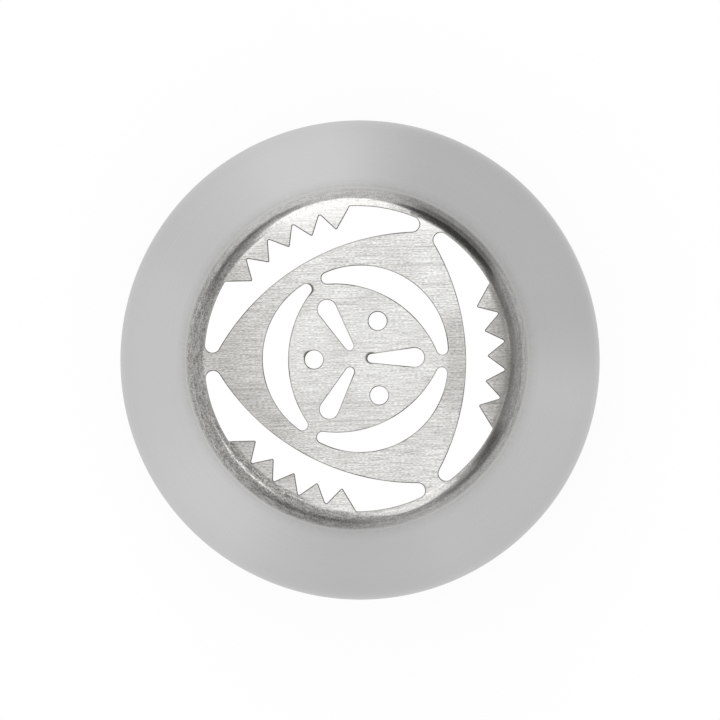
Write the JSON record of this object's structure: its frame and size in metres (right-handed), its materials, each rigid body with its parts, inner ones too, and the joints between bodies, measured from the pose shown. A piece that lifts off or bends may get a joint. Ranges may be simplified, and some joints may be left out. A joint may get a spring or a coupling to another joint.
{
  "type": "piping nozzle",
  "caption": "Tapered stainless piping nozzle, open at the base, with a flat pierced face of serrated, crescent, teardrop and round openings.",
  "frame": {"origin": "on the nozzle's axis, in the plane of the base rim", "axes": "+Z along the axis from the open base to the pierced face, +X through the middle of one serrated opening"},
  "size_m": [0.034, 0.034, 0.04],
  "materials": {
    "body_steel": "smooth satin stainless steel",
    "face_steel": "straight-grained stainless steel with a duller drawn bend"
  },
  "bodies": {
    "root": {"tapered_body": "body_steel", "pierced_face": "face_steel"}
  },
  "joints": []
}
